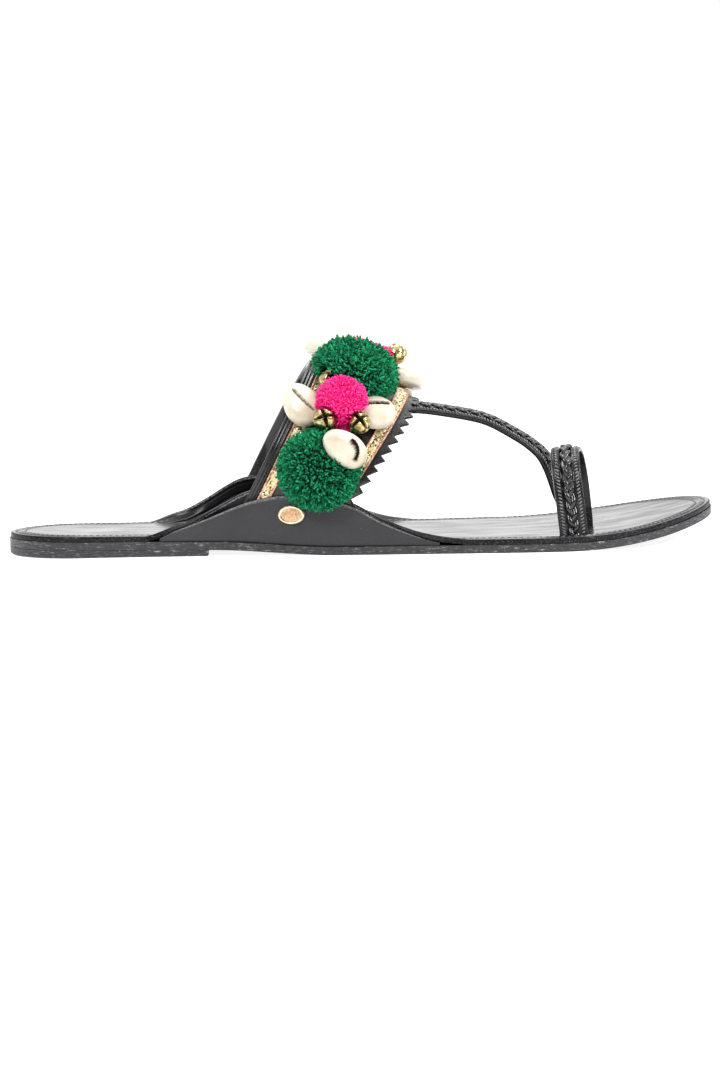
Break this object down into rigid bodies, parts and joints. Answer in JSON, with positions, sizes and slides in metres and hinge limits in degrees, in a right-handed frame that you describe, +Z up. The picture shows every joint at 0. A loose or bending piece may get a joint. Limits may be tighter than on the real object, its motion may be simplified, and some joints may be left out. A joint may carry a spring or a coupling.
{
  "type": "kolhapuri sandal",
  "caption": "Flat leather sandal with turned-up ears, a wide decorated instep strap, a plaited toe strap and a big-toe loop.",
  "frame": {"origin": "on the floor under the middle of the heel", "axes": "+X to the toe, +Y to the outer side of the left foot, +Z up from the floor"},
  "size_m": [0.255, 0.1037, 0.0764],
  "materials": {
    "sole_leather": "gloss",
    "flap_leather": "satin",
    "strap_leather": "satin",
    "gold_ribbon": "metallic thread",
    "green_wool": "matte",
    "pink_wool": "matte",
    "cowrie_shell": "natural shell gloss",
    "brass": "polished",
    "copper_gold": "brushed"
  },
  "bodies": {
    "root": {"heel_lift": "sole_leather", "outsole": "sole_leather", "insole": "sole_leather", "ear_flap_inner": "flap_leather", "ear_flap_outer": "flap_leather", "strap_upper": "strap_leather", "trim_gold_rear": "gold_ribbon", "trim_gold_front": "gold_ribbon", "cowrie_1": "cowrie_shell", "cowrie_2": "cowrie_shell", "cowrie_3": "cowrie_shell", "cowrie_4": "cowrie_shell", "cowrie_5": "cowrie_shell", "cowrie_6": "cowrie_shell", "cowrie_7": "cowrie_shell", "cowrie_8": "cowrie_shell", "cowrie_9": "cowrie_shell", "bell_1": "brass", "bell_2": "brass", "bell_3": "brass", "bell_4": "brass", "bell_5": "brass", "bell_6": "brass", "bell_7": "brass", "pompom_pink_1": "pink_wool", "pompom_pink_2": "pink_wool", "pompom_pink_3": "pink_wool", "pompom_green_1": "green_wool", "pompom_green_2": "green_wool", "pompom_green_3": "green_wool", "pompom_green_4": "green_wool", "rivet_inner": "copper_gold", "rivet_outer": "copper_gold"}
  },
  "joints": []
}
